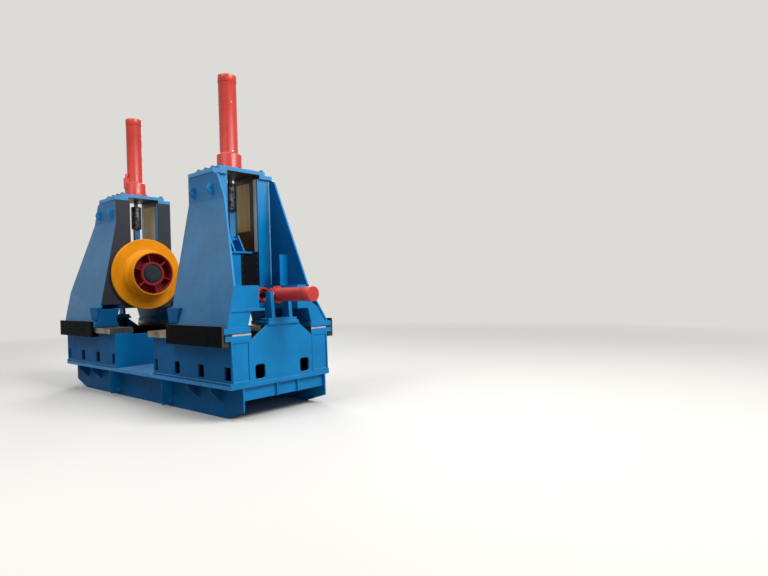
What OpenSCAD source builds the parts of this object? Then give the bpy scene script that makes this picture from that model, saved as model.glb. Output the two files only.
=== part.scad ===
// Twin-tower uncoiler stand. Two towers slide toward each other on a common
// cross bed. Each tower guides a head that carries a flanged mandrel stub.
// Millimetres. X runs along the processing line, Y across it, Z up.
// The origin is on the floor, under the middle of the bed.
// The near side is -Y, the far side +Y. Entry is -X, exit is +X.

/* [Bed] */
// Length of the bed across the line
bed_length = 4640; // [4400:10:5200]
// Distance between the outer walls of the bed
bed_width = 1450; // [1400:10:1600]
// Free passage between the two halves of the bed
passage_width = 1120; // [900:10:1300]
// Height of the webs under the deck
web_height = 377; // [300:1:450]
// Thickness of the deck plate
deck_thickness = 45; // [30:1:60]
// Height of the bed walls above the deck
bed_height = 495; // [420:1:560]
// Width of each box girder of the bed
girder_width = 259; // [220:1:300]
// Wall thickness of the bed plates
bed_plate = 25; // [16:1:40]
// Height of the slideway rails
rail_height = 75; // [60:1:100]
// Overhang of the rails past the bed wall
rail_overhang = 70; // [50:1:90]

/* [Tower] */
// Distance from the bed middle to the inner face of each tower
inner_face = 1059; // [1020:1:1100]
// Top of the tower caps
tower_top = 2990; // [2700:10:3200]
// Half width of the tower over its side plates
tower_half = 440; // [400:1:500]
// Depth of the uprights from inner to outer face
frame_depth = 540; // [480:1:600]
// Half width of the guide window
window_half = 226; // [200:1:260]
// Thickness of the side plates
side_plate = 25; // [16:1:40]
// Outward reach of the side plates at the foot
foot_reach = 1253; // [1150:1:1255]
// Outward reach of the side plates at the top
top_reach = 648; // [600:1:750]
// Height where the entry plate starts to lean out
lean_start = 2600; // [2300:10:2700]
// Outward lean of the entry plate per unit of height
lean_slope = 0.207; // [0.1:0.001:0.22]
// Outward splay of the exit plate at its foot
exit_splay = 310; // [250:5:320]
// Thickness of the foot flange
foot_flange = 60; // [40:1:80]
// Thickness of the caps on the uprights
cap_thickness = 50; // [30:1:70]
// Thickness of the cylinder mounting plate
top_plate_thickness = 50; // [35:1:70]
// Half width of the cylinder mounting plate
top_plate_half = 345; // [300:1:400]

/* [Lift cylinder] */
// Outer diameter of the lift cylinder tube
lift_tube_d = 232; // [200:1:260]
// Outer diameter of the lift cylinder collar
lift_collar_d = 316; // [280:1:340]
// Height of the lift cylinder above the mounting plate
lift_tube_h = 1260; // [1200:10:1500]
// Diameter of the lift rod
lift_rod_d = 60; // [50:1:100]
// Distance of the lift axis from the inner face
lift_offset = 262; // [230:1:290]

/* [Mandrel] */
// Height of the mandrel axis above the floor
mandrel_height = 1790; // [1780:1:1850]
// Diameter of the coil flange
flange_d = 1112; // [1000:2:1150]
// Diameter of the stub that enters the coil eye
stub_d = 676; // [600:2:720]
// Length of the stub in front of the flange
stub_length = 205; // [150:1:260]
// Diameter of the spindle end
spindle_d = 256; // [220:1:290]

/* [Traverse cylinder] */
// Height of the traverse axis above the floor
traverse_height = 1418; // [1400:1:1430]
// Outer diameter of the traverse barrel
traverse_d = 164; // [140:1:180]
// Distance from the bed end to the barrel's cap end
traverse_overhang = 549; // [500:1:600]

/* [Hidden] */
$fn = 64;
// Cutting bodies run past a face by eps; a seam parts neighbours on one body
eps = 1;
seam = 0.3;
half_length = bed_length / 2;
half_width = bed_width / 2;
half_passage = passage_width / 2;
girder_inner = half_width - girder_width;
body_flange = 25;
deck_top = web_height + deck_thickness;
body_low = deck_top + body_flange;
bed_top = deck_top + bed_height;
rail_top = bed_top + rail_height;
rail_outer = half_width + rail_overhang;
rail_inner = girder_inner - 12;
deck_half = half_width + 15;
web_t = 20;
web_entry = 575;
web_exit = 665;
web_chamfer = 110;
web_chamfer_run = 360;
gusset_t = 16;
gusset_at = [1384, 1885];
cross_pitch = 750;
cross_low = 140;
end_beam_low = 225;
hole_pitch = 544;
hole_first = 610;
hole_w = 118;
hole_h = 152;
slide_gap = 6;
foot_bottom = rail_top + slide_gap;
foot_top = foot_bottom + foot_flange;
flange_x = rail_outer + slide_gap;
inner_y = inner_face;
frame_outer = inner_y + frame_depth;
wall_inner = frame_outer + slide_gap;
wall_outer = wall_inner + side_plate;
foot_outer = inner_y + foot_reach;
top_outer = inner_y + top_reach;
upright_x = tower_half - side_plate;
upright_top = tower_top - cap_thickness;
lift_y = inner_y + lift_offset;
lift_base = tower_top + top_plate_thickness;
mandrel_drop = 254;
head_travel = 200;
head_low = mandrel_height - mandrel_drop;
head_high = mandrel_height + 190;
foot_box_top = head_low - 2;
sill_top = head_low - head_travel - slide_gap;
sill_low = sill_top - 68;
arch_top = sill_low - 22;
arch_foot = 478;
arch_crown = 430;
ledge_t = 30;
notch_half = 289;
traverse_x = 15;
head_half = window_half - 8;

// Inner surface of the entry plate and of the exit plate at height z
function entry_in(z) = -upright_x - lean_slope * max(0, lean_start - z);
function exit_in(z) = upright_x
    + exit_splay * max(0, foot_box_top - z) / (foot_box_top - foot_top);

// Mirrors a near-side piece to the far side
module far() mirror([0, 1, 0]) children();

// Mirrors an exit-side piece to the entry side
module entry() mirror([1, 0, 0]) children();

// A box given by its low and high corners
module span_box(lo, hi) translate(lo) cube(hi - lo);

// A plate in the X-Z plane, drawn as [x, z], from y0 to y1 with y0 < y1
module xz_plate(y0, y1) translate([0, y1, 0]) rotate([90, 0, 0])
    linear_extrude(y1 - y0) children();

// A plate in the Y-Z plane, drawn as [y, z], from x0 to x1 with x0 < x1
module yz_plate(x0, x1) translate([x0, 0, 0]) rotate([90, 0, 90])
    linear_extrude(x1 - x0) children();

// A cylinder along Y from y0 to y1 with y0 < y1
module y_cylinder(d, y0, y1) translate([0, y1, 0]) rotate([90, 0, 0])
    cylinder(d = d, h = y1 - y0);

// A turned piece on the mandrel axis, drawn as [radius, distance from middle]
module turned() translate([0, 0, mandrel_height]) rotate([90, 0, 0])
    rotate_extrude() children();

// One web under the deck, with chamfered lower corners
module sub_web(x) {
    yz_plate(x - web_t / 2, x + web_t / 2)
        polygon([[-half_length, web_chamfer], [-half_length + web_chamfer_run, 0],
                 [half_length - web_chamfer_run, 0], [half_length, web_chamfer],
                 [half_length, web_height], [-half_length, web_height]]);
}

// Stiffeners between a web and the deck edge; side is -1 or 1
module web_gussets(x, side) {
    tip = x + side * (deck_half - 12 - abs(x));
    for (s = [-1, 1], at = gusset_at)
        xz_plate(s * at - gusset_t / 2, s * at + gusset_t / 2)
            polygon([[x, web_height - 200], [tip, web_height - 60],
                     [tip, web_height], [x, web_height]]);
    for (y = [-cross_pitch, cross_pitch])
        xz_plate(y - gusset_t / 2, y + gusset_t / 2)
            difference() {
                polygon([[x, 20], [tip, 40], [tip, web_height], [x, web_height]]);
                translate([x + side * 45, 90]) circle(d = 46);
            }
}

module sub_web_entry() color("#1d6fae") {
    sub_web(-web_entry);
    web_gussets(-web_entry, -1);
}

module sub_web_exit() color("#1d6fae") {
    sub_web(web_exit);
    web_gussets(web_exit, 1);
}

// Deck plate over the webs
module sub_deck() color("#1d6fae")
    span_box([-deck_half, -half_length, web_height], [deck_half, half_length, deck_top]);

// Shallow end beam with two ribs on its face
module end_beam() {
    y0 = -half_length + 40;
    span_box([-web_entry + web_t / 2, y0, end_beam_low],
             [web_exit - web_t / 2, y0 + web_t, web_height]);
    for (x = [-90, 226])
        span_box([x - 9, y0 - 30, end_beam_low], [x + 9, y0 + eps, web_height]);
}

// Cross plates and end beams that tie the webs together
module sub_cross_plates() color("#1d6fae") {
    for (i = [-2:2])
        span_box([-web_entry + web_t / 2, i * cross_pitch - web_t / 2, cross_low],
                 [web_exit - web_t / 2, i * cross_pitch + web_t / 2, web_height]);
    end_beam();
    far() end_beam();
}

end_recess = 10;

// One hollow box girder of the near half, with its bottom flange, hand holes
// and a recessed end plate
module girder() {
    y0 = -half_length;
    y1 = -half_passage;
    difference() {
        xz_plate(y0, y1)
            polygon([[girder_inner, deck_top], [deck_half, deck_top], [deck_half, body_low],
                     [half_width, body_low], [half_width, bed_top], [girder_inner, bed_top]]);
        span_box([girder_inner + bed_plate, y0 + bed_plate, body_low],
                 [half_width - bed_plate, y1 - bed_plate, bed_top - bed_plate]);
        span_box([girder_inner + bed_plate, y0 - eps, body_low + end_recess],
                 [half_width - bed_plate, y0 + end_recess, bed_top - bed_plate]);
        for (i = [0:3])
            translate([0, -hole_first - i * hole_pitch, body_low + hole_h / 2 + 28])
                cube([2 * half_width + 2 * eps, hole_w, hole_h], center = true);
    }
}

module girder_near_entry() color("#1d84c4") entry() girder();

module girder_near_exit() color("#1d84c4") girder();

module girder_far_entry() color("#1d84c4") far() entry() girder();

module girder_far_exit() color("#1d84c4") far() girder();

bracket_top = bed_top + 150;
bracket_y = -half_length + 6;
shelf_half = 240;

// A hole with rounded corners
module round_hole(w, h, r) {
    offset(r = r) square([w - 2 * r, h - 2 * r], center = true);
}

// Plates between the girders: peaked end plate on two ribs, and the passage wall
module bed_end() {
    xz_plate(bracket_y, bracket_y + bed_plate)
        difference() {
            polygon([[-girder_inner, deck_top], [girder_inner, deck_top],
                     [girder_inner, bed_top - 15], [traverse_x + shelf_half, bracket_top],
                     [traverse_x - shelf_half, bracket_top], [-girder_inner, bed_top - 15]]);
            for (x = [-334, 334])
                translate([x, body_low + 95]) round_hole(140, 166, 32);
        }
    for (x = [traverse_x - 180, traverse_x + 180])
        span_box([x - 10, bracket_y, deck_top], [x + 10, bracket_y + 190, bracket_top]);
    span_box([-girder_inner, -half_passage - bed_plate, deck_top],
             [girder_inner, -half_passage, bed_top - bed_plate]);
}

module bed_end_near() color("#1d84c4") bed_end();

module bed_end_far() color("#1d84c4") far() bed_end();

// Slideway rails of the exit side, one on each half of the bed
module rail_pair() {
    span_box([rail_inner, -half_length, bed_top], [rail_outer, -half_passage, rail_top]);
    span_box([rail_inner, half_passage, bed_top], [rail_outer, half_length, rail_top]);
}

module rails_entry() color("#8f8d86") entry() rail_pair();

module rails_exit() color("#8f8d86") rail_pair();

bracket_plate = 36;
trunnion_d = 60;
trunnion_y = bracket_y + 77;
cheek_x = 130;
cheek_t = 47;
cheek_foot = [5, 150];
cheek_tip = [36, 118];

// Stacked plates and two tapered cheeks with the trunnion bores
module bracket() {
    base = bracket_top + 2 * bracket_plate;
    span_box([traverse_x - shelf_half + 10, bracket_y - 20, bracket_top],
             [traverse_x + shelf_half - 10, bracket_y + 190, bracket_top + bracket_plate]);
    span_box([traverse_x - shelf_half + 29, bracket_y - 5, bracket_top],
             [traverse_x + shelf_half - 29, bracket_y + 170, base]);
    difference() {
        for (s = [-1, 1])
            yz_plate(traverse_x + s * cheek_x - cheek_t / 2, traverse_x + s * cheek_x + cheek_t / 2)
                polygon([[bracket_y + cheek_foot[0], base - eps],
                         [bracket_y + cheek_foot[1], base - eps],
                         [bracket_y + cheek_tip[1], traverse_height + 40],
                         [bracket_y + cheek_tip[0], traverse_height + 40]]);
        translate([0, trunnion_y, traverse_height]) rotate([0, 90, 0])
            cylinder(d = trunnion_d + 2 * seam, h = bed_width, center = true);
    }
}

module bracket_near() color("#1d84c4") bracket();

module bracket_far() color("#1d84c4") far() bracket();

barrel_cap = -half_length - traverse_overhang;
barrel_reach = 204;
barrel_head = bracket_y + barrel_reach;
traverse_rod_d = 70;
traverse_flange_d = traverse_d + 42;
cap_ring_w = 150;
rod_play = 0.2;

// Barrel with cap ring, front flange, trunnion pins and an open bore for the rod
module traverse_barrel() {
    translate([traverse_x, 0, traverse_height])
        difference() {
            union() {
                y_cylinder(traverse_d, barrel_cap + 20, barrel_head);
                y_cylinder(traverse_d + 8, barrel_cap, barrel_cap + cap_ring_w);
                y_cylinder(traverse_flange_d, trunnion_y - 7, trunnion_y + 23);
                translate([0, trunnion_y, 0]) rotate([0, 90, 0])
                    cylinder(d = trunnion_d, h = 2 * cheek_x + cheek_t, center = true);
            }
            y_cylinder(traverse_rod_d + rod_play, barrel_cap + 40, barrel_head + eps);
        }
}

module traverse_barrel_near() color("#c8342c") traverse_barrel();

module traverse_barrel_far() color("#c8342c") far() traverse_barrel();

socket_y = -1960;
socket_d = 190;
socket_w = 80;

// Rod in its ring socket, with the block that bolts to the tower's rear wall
module traverse_rod() {
    translate([traverse_x, 0, traverse_height]) {
        y_cylinder(traverse_rod_d, barrel_cap + 70, socket_y + socket_w - 20);
        difference() {
            y_cylinder(socket_d, socket_y, socket_y + socket_w);
            y_cylinder(socket_d - 40, socket_y - eps, socket_y + socket_w - 35);
        }
        span_box([-70, socket_y + socket_w - eps, -70], [70, -wall_outer, 70]);
    }
}

module traverse_rod_near() color("#c8342c") traverse_rod();

module traverse_rod_far() color("#c8342c") far() traverse_rod();

// Two uprights beside the guide window, each with its cap
module uprights() {
    for (s = [-1, 1]) {
        span_box([min(s * window_half, s * upright_x), -frame_outer, sill_top + seam],
                 [max(s * window_half, s * upright_x), -inner_y, upright_top]);
        span_box([min(s * (window_half + 18), s * (tower_half + 8)), -frame_outer - 30,
                  upright_top],
                 [max(s * (window_half + 18), s * (tower_half + 8)), -inner_y, tower_top]);
    }
}

module uprights_near() color("#1d84c4") uprights();

module uprights_far() color("#1d84c4") far() uprights();

// Outline of a side plate in the Y-Z plane
module side_outline() {
    polygon([[-inner_y, foot_top], [-inner_y, upright_top],
             [-frame_outer - 30, upright_top], [-top_outer, upright_top - 35],
             [-foot_outer, foot_box_top], [-foot_outer, foot_top]]);
}

lug_at = [inner_y + 136, frame_outer + 1];

// Lifting lug with its eye
module lug() {
    rotate([90, 0, 0])
        linear_extrude(26, center = true)
            difference() {
                polygon([[eps, -140], [-50, -112], [-80, -64], [-66, -12], [-44, 0], [eps, 0]]);
                translate([-42, -60]) circle(d = 42);
            }
}

// Entry side plate: upright above, leaning outward below, with lugs and a nose box
module side_entry() {
    lean_x = lean_slope * (lean_start - foot_top);
    intersection() {
        xz_plate(-foot_outer, -inner_y)
            polygon([[-tower_half, tower_top], [-tower_half, lean_start],
                     [-tower_half - lean_x, foot_top], [-upright_x - lean_x, foot_top],
                     [-upright_x, lean_start], [-upright_x, tower_top]]);
        yz_plate(-tower_half - lean_x - eps, -upright_x + eps) side_outline();
    }
    for (y = lug_at)
        translate([-tower_half, -y, upright_top - 145]) lug();
    nose_box();
}

// Tapered box on the inner end of the entry foot, in front of the leaning plate
module nose_box() {
    low = foot_top + 50;
    high = low + 182;
    face_x = -flange_x + 35;
    intersection() {
        xz_plate(-inner_y - 240, -inner_y + 35)
            polygon([[face_x, low], [entry_in(low) - side_plate / 2, low],
                     [entry_in(high) - side_plate / 2, high], [face_x, high]]);
        yz_plate(face_x - eps, -tower_half)
            polygon([[-inner_y - 190, low], [-inner_y + 1, low],
                     [-inner_y + 35, high], [-inner_y - 240, high]]);
    }
}

module side_entry_near() color("#2b78b0") side_entry();

module side_entry_far() color("#2b78b0") far() side_entry();

stay_width = 122;
stay_height = 396;
stay_t = 20;
stay_y = -foot_outer + 375;

// Exit side plate: upright above, splayed at the foot, with an inner stay
module side_exit() {
    intersection() {
        xz_plate(-foot_outer, -inner_y)
            polygon([[upright_x, tower_top], [upright_x, foot_box_top],
                     [upright_x + exit_splay, foot_top], [tower_half + exit_splay, foot_top],
                     [tower_half, foot_box_top], [tower_half, tower_top]]);
        yz_plate(upright_x - eps, tower_half + exit_splay + eps) side_outline();
    }
    span_box([upright_x - stay_width, stay_y, foot_box_top + seam],
             [upright_x + eps, stay_y + stay_t, foot_box_top + stay_height]);
}

module side_exit_near() color("#2b78b0") side_exit();

module side_exit_far() color("#2b78b0") far() side_exit();

box_face = 12;

// Outer sides of the legs at height z, a seam inside the side plates
function leg_entry(z) = entry_in(z) + seam;
function leg_exit(z) = exit_in(z) - seam;

// Entry foot: leg on its flange, outer box above a ledge plate
module foot_entry() {
    xz_plate(-foot_outer + box_face, -wall_outer - seam)
        polygon([[leg_entry(foot_top), foot_top], [-arch_foot, foot_top],
                 [-arch_crown, arch_top], [-notch_half - 26, arch_top],
                 [-notch_half - 26, foot_box_top], [leg_entry(foot_box_top), foot_box_top]]);
    xz_plate(-foot_outer, -wall_outer - seam)
        polygon([[leg_entry(arch_top), arch_top], [-notch_half + 44, arch_top],
                 [-notch_half + 44, arch_top + ledge_t],
                 [leg_entry(arch_top + ledge_t), arch_top + ledge_t]]);
    xz_plate(-wall_outer - seam - eps, -inner_y)
        polygon([[leg_entry(foot_top), foot_top], [-arch_foot, foot_top],
                 [-arch_crown, sill_low], [leg_entry(sill_low), sill_low]]);
    span_box([-flange_x, -foot_outer, foot_bottom], [-arch_foot + 28, -inner_y, foot_top]);
}

// Exit foot: leg on its flange, outer box that narrows above the splay
module foot_exit() {
    xz_plate(-foot_outer + box_face, -wall_outer - seam)
        polygon([[leg_exit(foot_top), foot_top], [arch_foot, foot_top],
                 [arch_crown, arch_top], [notch_half - 26, arch_top],
                 [notch_half - 26, foot_box_top], [upright_x - 12, foot_box_top],
                 [upright_x + 42, arch_top + 100], [leg_exit(arch_top), arch_top]]);
    xz_plate(-wall_outer - seam - eps, -inner_y)
        polygon([[leg_exit(foot_top), foot_top], [arch_foot, foot_top],
                 [arch_crown, sill_low], [leg_exit(sill_low), sill_low]]);
    span_box([arch_foot - 19, -foot_outer, foot_bottom], [flange_x, -inner_y, foot_top]);
}

// Both feet, the sill between them and the rear wall that takes the rod block
module foot_box() {
    foot_entry();
    foot_exit();
    span_box([-upright_x, -wall_inner + seam, sill_low + seam], [upright_x, -inner_y, sill_top]);
    span_box([-upright_x, -wall_outer, sill_low + seam], [upright_x, -wall_inner, foot_box_top]);
}

module foot_box_near() color("#1d84c4") foot_box();

module foot_box_far() color("#1d84c4") far() foot_box();

// Plate that carries the lift cylinder
module top_plate() {
    difference() {
        span_box([-top_plate_half, -frame_outer - 17, tower_top],
                 [top_plate_half, -inner_y - 6, lift_base]);
        translate([0, -lift_y, tower_top - eps])
            cylinder(d = lift_rod_d + 30, h = top_plate_thickness + 2 * eps);
    }
}

module top_plate_near() color("#1d84c4") top_plate();

module top_plate_far() color("#1d84c4") far() top_plate();

face_t = 12;

// Black face plates on the inner side: one beside each upright, one on the sill
module face_plates() {
    xz_plate(-inner_y, -inner_y + face_t) {
        polygon([[-window_half, upright_top], [-tower_half, upright_top],
                 [-tower_half, lean_start], [entry_in(sill_top) - side_plate, sill_top],
                 [-window_half, sill_top]]);
        polygon([[window_half, upright_top], [tower_half, upright_top],
                 [tower_half, foot_box_top], [exit_in(sill_top) + side_plate, sill_top],
                 [window_half, sill_top]]);
        translate([-window_half + seam, sill_top])
            square([2 * (window_half - seam), 90]);
    }
}

module face_plates_near() color("#2e2f31") face_plates();

module face_plates_far() color("#2e2f31") far() face_plates();

// Keeper plate that hooks under the rail overhang on the exit side
module keeper() {
    difference() {
        span_box([half_width + 16, -foot_outer, bed_top - 60],
                 [flange_x + 30, -inner_y - 41, foot_top + 32]);
        span_box([half_width - eps, -foot_outer - eps, bed_top - 12],
                 [flange_x, -inner_y + eps, foot_top + 32 + eps]);
    }
}

module keepers() {
    keeper();
    entry() keeper();
}

module keepers_near() color("#26272a") keepers();

module keepers_far() color("#26272a") far() keepers();

tube_cap_h = 95;
tube_edge = 6;

// Lift cylinder: base flange, collar, capped tube and an open bore for the rod
module lift_barrel() {
    translate([0, -lift_y, lift_base])
        difference() {
            union() {
                cylinder(d = lift_collar_d + 60, h = 30);
                cylinder(d = lift_collar_d, h = 215);
                translate([0, 0, 215])
                    cylinder(d1 = lift_collar_d, d2 = lift_tube_d, h = 25);
                cylinder(d = lift_tube_d, h = lift_tube_h - tube_cap_h + eps);
                translate([0, 0, lift_tube_h - tube_cap_h])
                    cylinder(d = lift_tube_d + 8, h = tube_cap_h - tube_edge);
                translate([0, 0, lift_tube_h - tube_edge])
                    cylinder(d1 = lift_tube_d + 8, d2 = lift_tube_d + 8 - 2 * tube_edge,
                             h = tube_edge);
            }
            translate([0, 0, -eps])
                cylinder(d = lift_rod_d + rod_play, h = lift_tube_h - 60);
        }
}

module lift_barrel_near() color("#c8342c") lift_barrel();

module lift_barrel_far() color("#c8342c") far() lift_barrel();

head_inner = inner_y + 16;
head_outer = frame_outer - 6;
bore_d = 181;
bore_end = head_outer - 50;
rib_top = head_high + 219;
rib_step = lift_y + 122;
rib_x = [-120, 20];
shelf_t = 25;
shelf_exit = head_half - 114;
column_top = rib_top + 6;
lug_top = column_top + 322;

// Head block with blind bore, shelf, slanted ribs, column and lift lug
module head() {
    difference() {
        span_box([-head_half, -head_outer, head_low], [head_half, -head_inner, head_high]);
        translate([0, 0, mandrel_height]) y_cylinder(bore_d, -bore_end, -head_inner + eps);
    }
    span_box([-head_half, -head_outer - shelf_t, head_high - shelf_t],
             [shelf_exit, -head_inner, head_high]);
    for (x = rib_x)
        yz_plate(x - 10, x + 10)
            polygon([[-head_outer + 20, head_high - eps], [-lift_y + 45, head_high - eps],
                     [-lift_y + 45, rib_top], [-rib_step, rib_top]]);
    span_box([-70, -lift_y - 60, head_high - eps], [70, -lift_y + 60, column_top]);
    span_box([-40, -lift_y - 35, column_top - eps], [40, -lift_y + 35, lug_top]);
}

module head_near() color("#1d84c4") head();

module head_far() color("#1d84c4") far() head();

coupling_d = 150;
coupling_edge = 6;
coupling_drop = 105;
coupling_top = tower_top - coupling_drop;
rod_reserve = 260;
rod_top = lift_base + lift_tube_h - rod_reserve;

// Coupling sleeve with the lift rod above it, turned in one piece
module lift_rod() {
    translate([0, -lift_y, 0]) rotate_extrude()
        polygon([[0, lug_top], [coupling_d / 2 - coupling_edge, lug_top],
                 [coupling_d / 2, lug_top + coupling_edge],
                 [coupling_d / 2, coupling_top - coupling_edge],
                 [coupling_d / 2 - coupling_edge, coupling_top],
                 [lift_rod_d / 2, coupling_top], [lift_rod_d / 2, rod_top], [0, rod_top]]);
}

module lift_rod_near() color("#3a3d40") lift_rod();

module lift_rod_far() color("#3a3d40") far() lift_rod();

flange_t = 45;
flange_back = inner_y - 24;
flange_front = flange_back - flange_t;
stub_front = flange_front - stub_length;
stub_wall = 20;
root_r = stub_d / 2 + 48;
hub_d = spindle_d + 44;

// Coil flange with chamfered rim, tapered root ring and open stub, turned in one piece
module coil_flange() {
    turned()
        polygon([[hub_d / 2 + seam, flange_back], [flange_d / 2 - 8, flange_back],
                 [flange_d / 2, flange_back - 8], [flange_d / 2, flange_front + 8],
                 [flange_d / 2 - 8, flange_front], [root_r, flange_front],
                 [root_r - 8, flange_front - 40], [stub_d / 2 + 6, flange_front - 60],
                 [stub_d / 2, flange_front - 66], [stub_d / 2, stub_front + 12],
                 [stub_d / 2 - 6, stub_front], [stub_d / 2 - stub_wall, stub_front],
                 [stub_d / 2 - stub_wall, flange_front], [hub_d / 2 + seam, flange_front]]);
}

module coil_flange_near() color("#cf8512") coil_flange();

module coil_flange_far() color("#cf8512") far() coil_flange();

rib_lag = -12;
spider_wall = 12;

// Spider inside the stub: drilled back plate between a hub ring and a rim, six ribs
module spider() {
    outer = stub_d / 2 - stub_wall - seam;
    difference() {
        union() {
            turned()
                polygon([[hub_d / 2 + seam, flange_front], [outer, flange_front],
                         [outer, stub_front + 14], [outer - spider_wall, stub_front + 14],
                         [outer - spider_wall, flange_front - 30],
                         [hub_d / 2 + 35, flange_front - 30],
                         [hub_d / 2 + 35, stub_front + 35], [hub_d / 2 + seam, stub_front + 35]]);
            translate([0, 0, mandrel_height])
                for (a = [0:60:300])
                    rotate([0, a + rib_lag, 0])
                        span_box([-8, -flange_front + eps, hub_d / 2 + 20],
                                 [8, -stub_front - 40, outer - 3]);
        }
        translate([0, 0, mandrel_height])
            for (a = [0:60:300])
                rotate([0, a + rib_lag + 17, 0])
                    translate([0, 0, outer - 62])
                        y_cylinder(38, -flange_front - eps, -flange_front + 40);
    }
}

module spider_near() color("#8a2038") spider();

module spider_far() color("#8a2038") far() spider();

// Spindle: journal in the head, hub through the flange, chamfered end
module spindle() {
    journal_r = bore_d / 2 - 0.05;
    turned()
        polygon([[0, bore_end - 10], [journal_r, bore_end - 10], [journal_r, flange_back],
                 [hub_d / 2, flange_back], [hub_d / 2, stub_front + 50],
                 [spindle_d / 2, stub_front + 50], [spindle_d / 2, stub_front + 34],
                 [spindle_d / 2 - 6, stub_front + 28], [0, stub_front + 28]]);
}

module spindle_near() color("#2b2c2e") spindle();

module spindle_far() color("#2b2c2e") far() spindle();

sub_web_entry();
sub_web_exit();
sub_deck();
sub_cross_plates();
girder_near_entry();
girder_near_exit();
girder_far_entry();
girder_far_exit();
bed_end_near();
bed_end_far();
rails_entry();
rails_exit();
bracket_near();
bracket_far();
traverse_barrel_near();
traverse_barrel_far();
uprights_near();
uprights_far();
side_entry_near();
side_entry_far();
side_exit_near();
side_exit_far();
foot_box_near();
foot_box_far();
top_plate_near();
top_plate_far();
face_plates_near();
face_plates_far();
keepers_near();
keepers_far();
lift_barrel_near();
lift_barrel_far();
traverse_rod_near();
traverse_rod_far();
head_near();
head_far();
lift_rod_near();
lift_rod_far();
coil_flange_near();
coil_flange_far();
spider_near();
spider_far();
spindle_near();
spindle_far();
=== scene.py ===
import math
import random

import bmesh
import bpy
from mathutils import Matrix, Vector, noise


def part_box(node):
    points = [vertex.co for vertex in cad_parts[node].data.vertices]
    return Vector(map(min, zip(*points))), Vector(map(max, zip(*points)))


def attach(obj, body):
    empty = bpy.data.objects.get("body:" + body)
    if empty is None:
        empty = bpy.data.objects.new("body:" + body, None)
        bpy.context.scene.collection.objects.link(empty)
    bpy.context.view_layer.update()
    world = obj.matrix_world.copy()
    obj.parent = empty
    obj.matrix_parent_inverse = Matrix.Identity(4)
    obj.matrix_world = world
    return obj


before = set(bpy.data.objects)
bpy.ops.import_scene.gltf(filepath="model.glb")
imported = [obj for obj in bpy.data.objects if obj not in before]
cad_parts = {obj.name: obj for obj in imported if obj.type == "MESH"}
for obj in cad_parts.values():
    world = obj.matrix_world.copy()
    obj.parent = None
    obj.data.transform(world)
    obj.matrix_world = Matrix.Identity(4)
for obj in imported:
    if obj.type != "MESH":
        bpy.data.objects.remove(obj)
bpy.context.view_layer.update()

bl_info = {
    "name": "Uncoiler Stand Finish",
    "version": (1, 0, 0),
    "blender": (4, 5, 0),
    "location": "View3D > Sidebar > Uncoiler Stand",
    "description": "Paints the uncoiler stand and adds its fasteners, strips and weld seams",
    "category": "Object",
}

# The near tower stands at -Y, the far one at +Y. Pieces are drawn for the near
# side and mirrored in Y for the far side.
SIDES = {"near": 1.0, "far": -1.0}

# Pale studio backdrop, into which the floor fades far behind the stand
BACKDROP = "#dcdbd7"


def linear(hex_colour):
    """Turns an sRGB hex colour into the linear values Blender's sockets take."""
    values = [int(hex_colour[i : i + 2], 16) / 255 for i in (1, 3, 5)]
    return tuple(v / 12.92 if v <= 0.04045 else ((v + 0.055) / 1.055) ** 2.4 for v in values)


def per_metre(millimetres):
    """Texture scale of a pattern whose features are that many millimetres apart."""
    return 1000.0 / millimetres


class UncoilerFinish(bpy.types.PropertyGroup):
    """Colours and wear of the stand's surfaces"""

    blue: bpy.props.FloatVectorProperty(
        name="Blue enamel", description="Colour of the machine enamel on the plate work",
        subtype="COLOR", min=0, max=1, default=linear("#037cba"))
    # Greyer and darker than the blue enamel: dust, with painted sheen on the leaning plates and
    # painted shade on the heads' columns
    side_blue: bpy.props.FloatVectorProperty(
        name="Entry blue", description="Colour of the dusty enamel with painted sheen and shade",
        subtype="COLOR", min=0, max=1, default=linear("#26699c"))
    red: bpy.props.FloatVectorProperty(
        name="Cylinder red", description="Colour of the enamel on the hydraulic cylinders",
        subtype="COLOR", min=0, max=1, default=linear("#be2a1b"))
    yellow: bpy.props.FloatVectorProperty(
        name="Flange yellow", description="Colour of the enamel on the coil flanges",
        subtype="COLOR", min=0, max=1, default=linear("#dd8c08"))
    maroon: bpy.props.FloatVectorProperty(
        name="Spider maroon", description="Colour of the oxide primer inside the stubs",
        subtype="COLOR", min=0, max=1, default=linear("#8c1c26"))
    dust: bpy.props.FloatProperty(
        name="Dust", description="Share of dust on faces that look up",
        subtype="FACTOR", min=0, max=1, default=0.25)
    edge: bpy.props.FloatProperty(
        name="Edge radius", description="Radius that grinding left on the plate edges",
        subtype="DISTANCE", unit="LENGTH", min=0.0005, max=0.008, default=0.003)


class UncoilerFasteners(bpy.types.PropertyGroup):
    """Sizes of the screws and strips that are added to the frame"""

    plate_bolt: bpy.props.FloatProperty(
        name="Plate bolt", description="Width across flats of the bolts on the cylinder plates",
        subtype="DISTANCE", unit="LENGTH", min=0.02, max=0.08, default=0.046)
    flange_bolt: bpy.props.FloatProperty(
        name="Flange bolt", description="Width across flats of the bolts on the cylinder flanges",
        subtype="DISTANCE", unit="LENGTH", min=0.01, max=0.05, default=0.026)
    cover_screw: bpy.props.FloatProperty(
        name="Cover screw", description="Diameter of the button heads in the bearing covers",
        subtype="DISTANCE", unit="LENGTH", min=0.008, max=0.04, default=0.018)
    strip: bpy.props.FloatProperty(
        name="Strip thickness", description="Thickness of the guide strips in the windows",
        subtype="DISTANCE", unit="LENGTH", min=0.002, max=0.003, default=0.003)
    bead: bpy.props.FloatProperty(
        name="Weld bead", description="Leg length of the fillet welds",
        subtype="DISTANCE", unit="LENGTH", min=0.004, max=0.02, default=0.01)


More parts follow.
